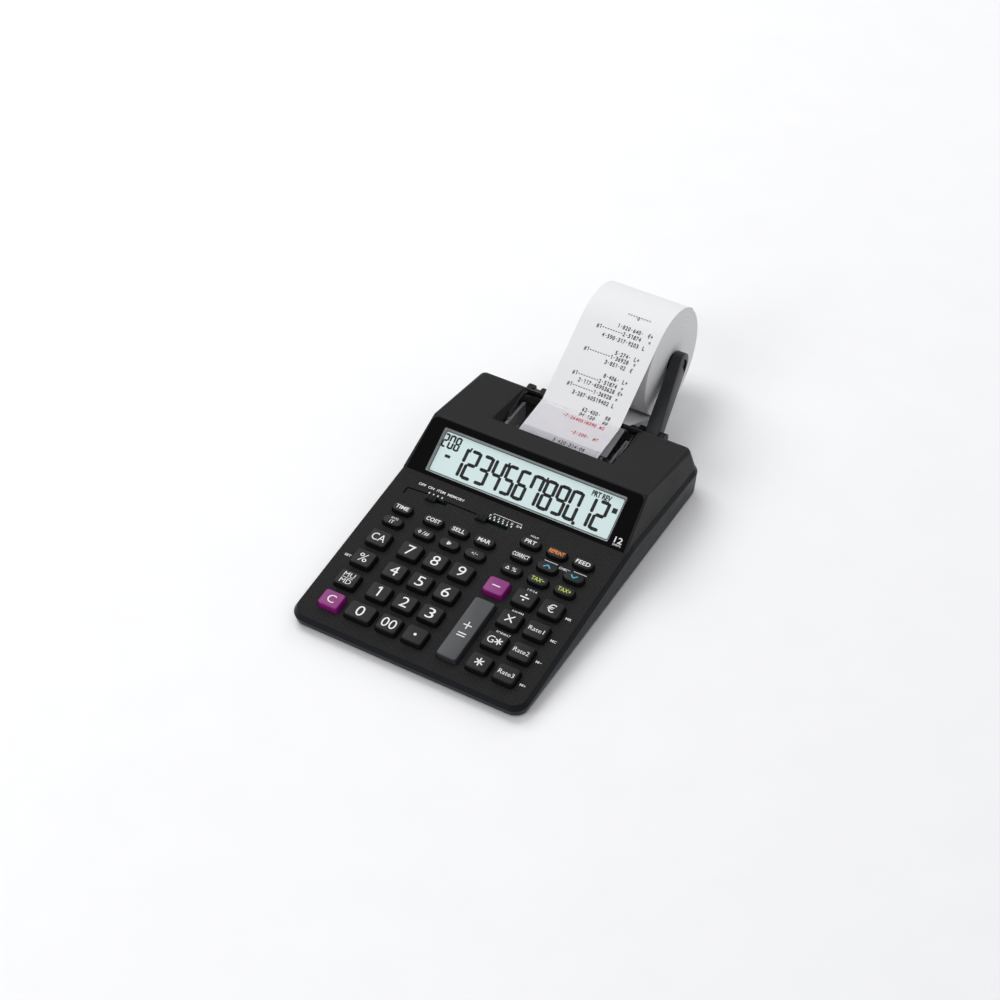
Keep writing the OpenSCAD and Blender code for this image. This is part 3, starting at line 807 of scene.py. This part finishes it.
@dataclass(frozen=True)
class Display:
    """The display's surround, its digits and the panel's own words, in mm."""

    side: float = 66.2
    foot: float = 3.1
    head: float = 33.9
    glass: float = -2.3
    digit_h: float = 18.2
    digit_w: float = 6.3
    stroke: float = 2.25
    pitch: float = 9.3
    last_x: float = 53.6
    middle: float = 16.9
    number: str = "123456789012"
    small_number: str = "208"

    SEGMENTS: ClassVar[dict[str, str]] = {
        "0": "abcdef", "1": "bc", "2": "abged", "3": "abgcd", "4": "fgbc",
        "5": "afgcd", "6": "afgedc", "7": "fabc", "8": "abcdefg", "9": "abcdfg",
    }

    def surround(self, near: float, far: float, high: float, low: float) -> bmesh.types.BMesh:
        """Returns one sloping ring between the window's edge and the glass.

        Args:
            near: how far inside the window its outer edge is.
            far: how far inside the window its inner edge is.
            high: the height of its outer edge.
            low: the height of its inner edge.

        Returns:
            The ring, closed underneath.
        """
        bm = bmesh.new()
        middle = Vector((0, (self.foot + self.head) / 2, 0))
        width, depth = 2 * self.side, self.head - self.foot
        rings = []
        for inset, rise in ((near, high), (far, low), (far, low - 0.08), (near, low - 0.08)):
            flat = outline(width - 2 * inset, depth - 2 * inset, 0.9, rise, 3)
            rings.append([bm.verts.new(p + middle) for p in flat])
        for one, two in zip(rings, rings[1:] + rings[:1]):
            for i in range(len(one)):
                j = (i + 1) % len(one)
                bm.faces.new((one[i], one[j], two[j], two[i]))
        bmesh.ops.recalc_face_normals(bm, faces=bm.faces)
        return bm

    def digit(
        self,
        bm: bmesh.types.BMesh,
        figure: str,
        x: float,
        y: float,
        height: float,
        width: float,
        stroke: float,
    ) -> None:
        """Adds one seven-segment figure.

        Args:
            bm: the mesh that takes it.
            figure: the figure.
            x: its middle along X.
            y: its middle along the slope.
            height: its height.
            width: its width.
            stroke: its stroke's width.
        """
        half, up, gap = width / 2, height / 2, stroke * 0.62
        flat = {"a": up, "g": 0.0, "d": -up}
        tall = {"f": (-half, 1), "b": (half, 1), "e": (-half, -1), "c": (half, -1)}
        for name in self.SEGMENTS[figure]:
            if name in flat:
                start, end = (-half + gap, flat[name]), (half - gap, flat[name])
            else:
                side, way = tall[name]
                start, end = (side, way * gap), (side, way * (up - gap * 0.4))
            add_bar(bm, (x + start[0], y + start[1]), (x + end[0], y + end[1]), stroke)
            for point in (start, end):
                add_dot(bm, x + point[0], y + point[1], stroke * 0.5)

    def figures(self) -> bmesh.types.BMesh:
        """Returns everything that the display shows."""
        bm = bmesh.new()
        count = len(self.number)
        for i, figure in enumerate(self.number):
            x = self.last_x - (count - 1 - i) * self.pitch
            self.digit(bm, figure, x, self.middle, self.digit_h, self.digit_w, self.stroke)
            if i in (0, 3, 6):
                top = self.middle + self.digit_h / 2
                between = x + self.pitch / 2
                add_bar(bm, (between + 0.5, top + 1.7), (between - 0.2, top - 1.5), 1.35)
        dot_x = self.last_x - 1.5 * self.pitch
        add_dot(bm, dot_x, self.middle - self.digit_h / 2 - 1.3, 1.25)
        add_bar(bm, (-58.9, self.middle), (-55.0, self.middle), 1.9)
        for i, figure in enumerate(self.small_number):
            self.digit(bm, figure, -63.0 + 4.5 * i, 26.4, 8.3, 2.8, 1.25)
        add_text(bm, "PRT REV", 3.3, 49.6, 29.2, 13.6, 0.045)
        add_bar(bm, (59.7, 23.3), (63.1, 23.3), 3.4)
        return bm

    def build(self) -> None:
        """Builds the display."""
        dress("display_window", GLOSS)
        dress("lcd_module", LCD)
        floor = self.glass + 0.1
        frame_ring = self.surround(0.06, 1.3, -0.2, floor)
        finish_piece(frame_ring, "display_surround", SILVER, CASE, PANEL.matrix())
        edge_ring = self.surround(1.32, 1.62, floor, floor - 0.01)
        finish_piece(edge_ring, "display_edge", BLACK, CASE, PANEL.matrix())
        shown = PANEL.matrix() @ Matrix.Translation((0, 0, self.glass + 0.02))
        finish_piece(self.figures(), "display_figures", SEGMENT, CASE, shown)
        words = bmesh.new()
        add_text(words, "12", 3.8, 72.6, 6.4, 5.4, 0.01)
        add_text(words, "DIGITS", 1.2, 72.6, 3.2, 5.6, 0.01)
        printed = PANEL.matrix() @ Matrix.Translation((0, 0, 0.012))
        finish_piece(words, "panel_words", WHITE, CASE, printed)
        log.info("display")


@dataclass(frozen=True)
class Tape:
    """The paper roll and the printed tape that runs over it, in metres but for its words."""

    proud: float = 0.35 * MM
    wrap_gap: float = 0.3 * MM
    thickness: float = 0.12 * MM
    inlet_inset: float = 0.8 * MM
    inlet_z: float = 31 * MM
    exit_gap: float = 0.25 * MM
    exit_drop: float = 2.2 * MM
    lift_run: float = 1.8 * MM
    lift_rise: float = 0.6 * MM
    bend: float = 4 * MM
    lap_end: float = 50
    straight: int = 26
    bore: float = 6.05 * MM
    core_wall: float = 1.7 * MM
    core_inset: float = 0.5 * MM
    bevel: float = 0.25 * MM
    letter: float = 1.93
    letter_h: float = 2.8
    ink_rise: float = 0.01
    ink_gap: float = 0.06 * MM
    blend_z: float = 0.036
    lap_share: float = 0.98

    BLACK_ROWS: ClassVar[tuple[tuple[float, float, str, float, str], ...]] = (
        (74.8, 16.9, "****0****", 0, ""),
        (65.6, 16.4, "1.820.640.", 19.7, "€+"),
        (61.3, 16.5, "#1--------2.51874", 22.0, "="),
        (56.5, 16.8, "4.590.317.9203", 19.8, "L"),
        (47.7, 15.2, "5.274.", 17.9, "L+"),
        (44.1, 15.2, "#1--------1.36928", 18.9, "="),
        (39.7, 15.0, "3.851.02", 18.4, "€"),
        (30.8, 14.6, "8.406.", 17.1, "L+"),
        (26.4, 14.9, "#1--------2.51874", 18.0, "="),
        (22.6, 15.0, "2.117.45903628", 17.3, "€+"),
        (18.2, 14.7, "#1--------1.36928", 17.6, "="),
        (13.6, 14.8, "3.287.60519402", 17.2, "L"),
        (4.9, 12.8, "62.400.", 16.7, "##"),
        (1.0, 12.4, "84.150.", 16.5, "##"),
        (-27.0, 18.2, "5.620.314.08", 0, ""),
    )
    RED_ROWS: ClassVar[tuple[tuple[float, float, str, float, str], ...]] = (
        (-4.1, 14.5, "-7.2640518390", 16.7, "MS"),
        (-15.4, 15.1, "-3.200.", 18.2, "MT"),
    )

    def ring(self, node: str) -> tuple[float, float, float]:
        """Returns the place along Y and Z and the radius of a round node about X."""
        low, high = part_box(node)
        return (low.y + high.y) / 2, (low.z + high.z) / 2, (high.y - low.y) / 2

    @staticmethod
    def arc(
        cy: float, cz: float, radius: float, start: float, end: float, steps: int
    ) -> list[Vector]:
        """Returns points along an arc, with its angles in degrees from +Y."""
        angles = [math.radians(start + (end - start) * i / steps) for i in range(steps + 1)]
        return [Vector((0, cy + radius * math.cos(a), cz + radius * math.sin(a))) for a in angles]

    def path(self) -> list[Vector]:
        """Returns the tape's line from under the roll, through the printer and over the roll."""
        ry, rz, rr = self.ring("paper_roll")
        fy, fz, fr = self.ring("feed_roller")
        lap, wrap = rr + self.proud, fr + self.wrap_gap
        inlet_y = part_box("top_case")[1].y - self.inlet_inset
        web = math.degrees(math.atan2(rz - self.inlet_z, ry - inlet_y)
                           - math.asin(lap / math.hypot(ry - inlet_y, rz - self.inlet_z)))
        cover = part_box("paper_cover")[1]
        exit_y, exit_z = cover.y + self.exit_gap, cover.z - self.exit_drop
        start = math.degrees(math.atan2(self.inlet_z - fz + wrap, inlet_y - fy))
        leave = math.degrees(math.atan2(exit_z - fz - wrap, exit_y - fy))
        lift_y, lift_z = exit_y + self.lift_run, exit_z + self.lift_rise
        rise = math.degrees(math.atan2(rz - lift_z, ry - lift_y)
                            + math.asin(lap / math.hypot(ry - lift_y, rz - lift_z)))
        out, under = math.radians(leave), math.radians(web)
        first = Vector((0, ry + lap * math.sin(under), rz - lap * math.cos(under)))
        centre = (exit_y - self.bend * math.sin(out), exit_z + self.bend * math.cos(out))
        legs = [
            [first],
            [Vector((0, inlet_y, self.inlet_z))],
            self.arc(fy, fz, wrap, 270 + start, 90 + leave, 16),
            self.arc(*centre, self.bend, 270 + leave, 270 + rise, 8),
            self.arc(ry, rz, lap, 90 + rise, 90 - self.lap_end, 48),
        ]
        points: list[Vector] = []
        for leg in legs:
            if points:
                gap = leg[0] - points[-1]
                points += [points[-1] + gap * i / self.straight for i in range(1, self.straight)]
            points += leg
        return points

    def sheet(self, points: Sequence[Vector], half: float) -> bmesh.types.BMesh:
        """Sweeps the tape along its line.

        Args:
            points: the line.
            half: half the tape's width.

        Returns:
            The tape.
        """
        bm = bmesh.new()
        line = [bm.verts.new((-half, p.y, p.z)) for p in points]
        edges = [bm.edges.new(pair) for pair in zip(line, line[1:])]
        for _ in range(2):
            swept = bmesh.ops.extrude_edge_only(bm, edges=edges)["geom"]
            edges = [g for g in swept if isinstance(g, bmesh.types.BMEdge) and g not in edges]
            moved = [g for g in swept if isinstance(g, bmesh.types.BMVert)]
            edges = [e for e in edges if all(v in moved for v in e.verts)]
            bmesh.ops.translate(bm, vec=(half, 0, 0), verts=moved)
        bmesh.ops.recalc_face_normals(bm, faces=bm.faces)
        bmesh.ops.solidify(bm, geom=list(bm.faces), thickness=self.thickness)
        bmesh.ops.recalc_face_normals(bm, faces=bm.faces)
        return bm

    def lay(self, bm: bmesh.types.BMesh, points: Sequence[Vector], start: float) -> None:
        """Bends flat lettering onto the tape.

        Args:
            bm: the lettering, with its Y as the distance in mm along the tape.
            points: the tape's line.
            start: the length of the line in metres where that distance is 0.
        """
        lengths = [0.0]
        for a, b in zip(points, points[1:]):
            lengths.append(lengths[-1] + (b - a).length)
        for vert in bm.verts:
            along = start + vert.co.y * MM
            i = min(len(points) - 2, bisect_right(lengths, along) - 1)
            way = (points[i + 1] - points[i]).normalized()
            out = Vector((0, -way.z, way.y)) * (self.ink_gap + vert.co.z * MM)
            vert.co = Vector((vert.co.x * MM, 0, 0)) + points[i] + way * (along - lengths[i]) + out

    def words(self, rows: Iterable[tuple[float, float, str, float, str]]) -> bmesh.types.BMesh:
        """Draws rows of printed figures, flat.

        Args:
            rows: each row's place along the tape, right end, figures, sign's place and sign.

        Returns:
            The lettering, with its Y along the tape.
        """
        bm = bmesh.new()
        narrow = {"-": 1.2, ".": 0.7}
        for along, right, figures, sign_x, sign in rows:
            first = right - (len(figures) - 1) * self.letter - 0.8
            spots = [(first + i * self.letter, c) for i, c in enumerate(figures)]
            spots += [(sign_x + 0.8 + i * self.letter, c) for i, c in enumerate(sign)]
            for x, letter in spots:
                if letter in ".-=":
                    half = narrow.get(letter, 1.3) / 2
                    for y in (0.45, -0.45) if letter == "=" else (0.0,):
                        add_bar(bm, (x - half, along + y), (x + half, along + y), 0.55, self.ink_rise)
                elif letter == "1":
                    Glyph(Mark.ONE, self.letter_h, x, along, 0.42).draw(bm)
                else:
                    add_text(bm, letter, self.letter_h, x, along, 1.55, 0.028, self.ink_rise)
        return bm

    def roll(self) -> None:
        """Builds the paper roll and its card core."""
        cy, cz, radius = self.ring("paper_roll")
        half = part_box("paper_roll")[1].x
        wall = self.bore + self.core_wall
        layers = (("roll_paper", ROLL, wall, radius, half),
                  ("roll_core", CARD, self.bore, wall, half - self.core_inset))
        for name, finish, inner, outer, end in layers:
            bm = bmesh.new()
            side, rim = outer - self.bevel, end - self.bevel
            profile = [(-end, inner), (-end, side), (-rim, outer),
                       (rim, outer), (end, side), (end, inner)]
            ring = [bm.verts.new((x, cy, cz + r)) for x, r in profile]
            edges = [bm.edges.new(pair) for pair in zip(ring, ring[1:] + ring[:1])]
            bmesh.ops.spin(bm, geom=[*ring, *edges], cent=(0, cy, cz), axis=(1, 0, 0),
                           angle=2 * math.pi, steps=144, use_merge=True)
            bmesh.ops.remove_doubles(bm, verts=bm.verts, dist=1e-6)
            bmesh.ops.recalc_face_normals(bm, faces=bm.faces)
            piece = finish_piece(bm, name, finish, "paper_roll")
            if name == "roll_paper":
                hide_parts("paper_roll")

    def build(self) -> None:
        """Builds the roll, the tape and its printing."""
        self.roll()
        points = self.path()
        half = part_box("paper_strip")[1].x
        cover_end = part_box("paper_cover")[1].y
        strip = finish_piece(self.sheet(points, half), "printed_tape", PAPER, None, sharp=60)
        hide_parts("paper_strip")
        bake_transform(strip)
        past_inlet = self.straight + 20
        last = next(i for i, p in enumerate(points) if i > past_inlet and p.y > cover_end)
        leave = sum((b - a).length for a, b in zip(points[:last], points[1:last + 1]))
        prints = (("tape_print", INK, self.BLACK_ROWS), ("tape_red_print", RED_INK, self.RED_ROWS))
        for name, finish, rows in prints:
            bm = self.words(rows)
            self.lay(bm, points, leave)
            made = finish_piece(bm, name, finish, None, sharp=180)
            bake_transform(made)
        log.info("tape: %d points", len(points))


@dataclass(frozen=True)
class Shells:
    """The finishes of the pieces that keep their CAD shapes, and the small parts outside the case."""

    pad_radius: float = 5.1
    pad_top_radius: float = 6.1
    pad_rise: float = 0.5
    cover_rise: float = 3.3
    clip_x: float = 36.0
    clip_sink: float = 0.4
    ridge_low: float = 1.2
    ridge_high: float = 1.85
    ridge_pitch: float = 1.25

    FINISHES: ClassVar[dict[str, Finish]] = {
        "top_case": HOUSING, "bottom_case": BASE, "battery_cover": BASE, "paper_cover": SMOKE,
        "roll_holder": ARM, "key_mat": MAT, "main_board": BOARD, "printer_chassis": BLACK_STEEL,
        "feed_roller": ROLLER, "print_carriage": CARRIAGE, "case_screws": STEEL,
    }

    def knob(self, node: str) -> None:
        """Builds a selector's ribbed knob.

        Args:
            node: the selector's node and body.
        """
        low, high = DECK.local_box(node)
        middle_x, middle_v = (low.x + high.x) / 2, (low.y + high.y) / 2
        base = bmesh.new()
        cap_block(base, 7.4, 4.8, 0.2, 1.35, 0.9, 0.4, 0.25)
        for step in (-2, -1, 0, 1, 2):
            rings = []
            for height in (self.ridge_low, self.ridge_high):
                flat = outline(0.75 - (height - self.ridge_low) * 0.4, 3.9, 0.2, height, 2)
                rings.append([p + Vector((step * self.ridge_pitch, 0, 0)) for p in flat])
            loft(base, rings)
        place = DECK.matrix() @ Matrix.Translation((middle_x, middle_v, 0))
        finish_piece(base, f"{node}_knob", KNOB, node, place)
        dress(node, KNOB)

    def hub(self, side: int) -> None:
        """Builds the clip in a roll arm's hub.

        Args:
            side: 1 on the right and -1 on the left.
        """
        low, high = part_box("paper_roll")
        cy, cz = (low.y + high.y) / 2, (low.z + high.z) / 2
        x = side * self.clip_x * MM
        bm = bmesh.new()
        turn = Matrix.Rotation(math.pi / 2, 4, "Y")
        place = Matrix.Translation((x - side * self.clip_sink * MM, cy, cz)) @ turn
        for radius, depth in ((4.4, 1.2), (2.2, 2.0)):
            bmesh.ops.create_cone(bm, cap_ends=True, segments=40, radius1=radius * MM,
                                  radius2=radius * 0.92 * MM, depth=depth * MM, matrix=place)
        size = Matrix.Diagonal((1.2 * MM, 2.2 * MM, 5.2 * MM, 1))
        bmesh.ops.create_cube(bm, size=1, matrix=Matrix.Translation((x, cy, cz - 1.6 * MM)) @ size)
        which = "right" if side > 0 else "left"
        finish_piece(bm, f"arm_clip_{which}", ARM, "roll_holder")

    def pads(self) -> None:
        """Builds the soft pads under the feet."""
        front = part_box("bottom_case")[0].y
        for x, y in ((-66, 22), (66, 22), (-66, 212), (66, 212)):
            bm = bmesh.new()
            middle = Matrix.Translation((x * MM, front + y * MM, self.pad_rise * MM / 2 + 1e-5))
            bmesh.ops.create_cone(bm, cap_ends=True, segments=48, radius1=self.pad_radius * MM,
                                  radius2=self.pad_top_radius * MM, depth=self.pad_rise * MM,
                                  matrix=middle)
            corner = ("l" if x < 0 else "r") + ("f" if y < 100 else "b")
            finish_piece(bm, f"foot_pad_{corner}", PAD, CASE)

    def band(self) -> None:
        """Builds the grey see-through band along the front of the smoked cover, a painted shade that
        dims the tape beneath it.
        """
        low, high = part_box("paper_cover")
        rise = math.radians(self.cover_rise)
        face = Surface(Vector((0, low.y, high.z - (high.y - low.y) * math.tan(rise))), rise)
        bm = bmesh.new()
        rings = [outline(57.6, 6.4, 0.3, height, 2) for height in (0.02, 0.10)]
        loft(bm, [[p + Vector((0, 4.2, 0)) for p in ring] for ring in rings])
        finish_piece(bm, "cover_painted_shade", PAINTED_SHADE_BAND, CASE, face.matrix())

    def build(self) -> None:
        """Dresses the CAD nodes and builds the small parts."""
        for node, finish in self.FINISHES.items():
            dress(node, finish)
        for node in ("power_selector", "rounding_selector"):
            self.knob(node)
        for side in (-1, 1):
            self.hub(side)
        self.pads()
        self.band()
        dress("paper_strip", PAPER)
        dress("paper_roll", ROLL)
        log.info("shells")


@dataclass(frozen=True)
class Studio:
    """The camera, the floor and the lights, in metres and degrees."""

    lens: float = 81.86
    place: tuple[float, float, float] = (0.51882, -0.93102, 1.01124)
    azimuth: float = 30.472
    elevation: float = 43.325
    roll: float = -0.37
    sky_color: tuple[float, float, float, float] = (0.95, 0.96, 1.0, 1)
    sky_power: float = 0.42

    LAMPS: ClassVar[tuple[tuple[str, tuple[float, float, float], float, float], ...]] = (
        ("key_lamp", (-1.1, 0.6, 1.7), 1.4, 22),
        ("fill_lamp", (1.2, -0.7, 1.9), 2.2, 8),
        ("back_lamp", (0.3, 1.8, 1.2), 1.2, 7),
        ("front_lamp", (-0.7, -1.6, 1.2), 1.2, 13),
    )

    def camera(self) -> None:
        """Makes the camera."""
        az, el, roll = (math.radians(a) for a in (self.azimuth, self.elevation, self.roll))
        level_part = math.cos(el)
        forward = Vector((-math.sin(az) * level_part, math.cos(az) * level_part, -math.sin(el)))
        level = forward.cross(Vector((0, 0, 1))).normalized()
        right = level * math.cos(roll) + level.cross(forward) * math.sin(roll)
        up = right.cross(forward)
        data = bpy.data.cameras.new("camera")
        data.lens, data.sensor_width, data.clip_end = self.lens, 36, 20
        made = bpy.data.objects.new("camera", data)
        bpy.context.scene.collection.objects.link(made)
        turn = Matrix((right, up, -forward)).transposed().to_4x4()
        made.matrix_world = Matrix.Translation(self.place) @ turn
        bpy.context.scene.camera = made

    def floor(self) -> None:
        """Makes the pale floor."""
        bm = bmesh.new()
        bmesh.ops.create_grid(bm, x_segments=1, y_segments=1, size=6)
        bmesh.ops.translate(bm, vec=(0, 0, -FLOOR_DROP), verts=bm.verts)
        finish_piece(bm, "floor", FLOOR, None)

    def lamp(self, name: str, place: Sequence[float], size: float, power: float) -> None:
        """Makes a soft square lamp that looks at the calculator.

        Args:
            name: the lamp's name.
            place: where it is.
            size: its side.
            power: its power in watts.
        """
        data = bpy.data.lights.new(name, "AREA")
        data.shape, data.size, data.energy = "SQUARE", size, power
        made = bpy.data.objects.new(name, data)
        bpy.context.scene.collection.objects.link(made)
        made.location = place
        made.rotation_euler = (-Vector(place)).to_track_quat("-Z", "Y").to_euler()

    def build(self) -> None:
        """Makes the whole studio."""
        self.camera()
        self.floor()
        for name, place, size, power in self.LAMPS:
            self.lamp(name, place, size, power)
        world = bpy.data.worlds.new("studio")
        world.use_nodes = True
        background = world.node_tree.nodes["Background"].inputs
        background["Color"].default_value = self.sky_color
        background["Strength"].default_value = self.sky_power
        bpy.context.scene.world = world
        bpy.context.scene.view_settings.view_transform = "Standard"
        log.info("studio")


def main() -> None:
    """Builds the calculator."""
    logging.basicConfig(level=logging.INFO, format="%(message)s")
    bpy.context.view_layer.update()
    Studio().build()
    Shells().build()
    Display().build()
    Keyboard().build()
    DeckPrint().build()
    Tape().build()


if __name__ == "__main__":
    main()
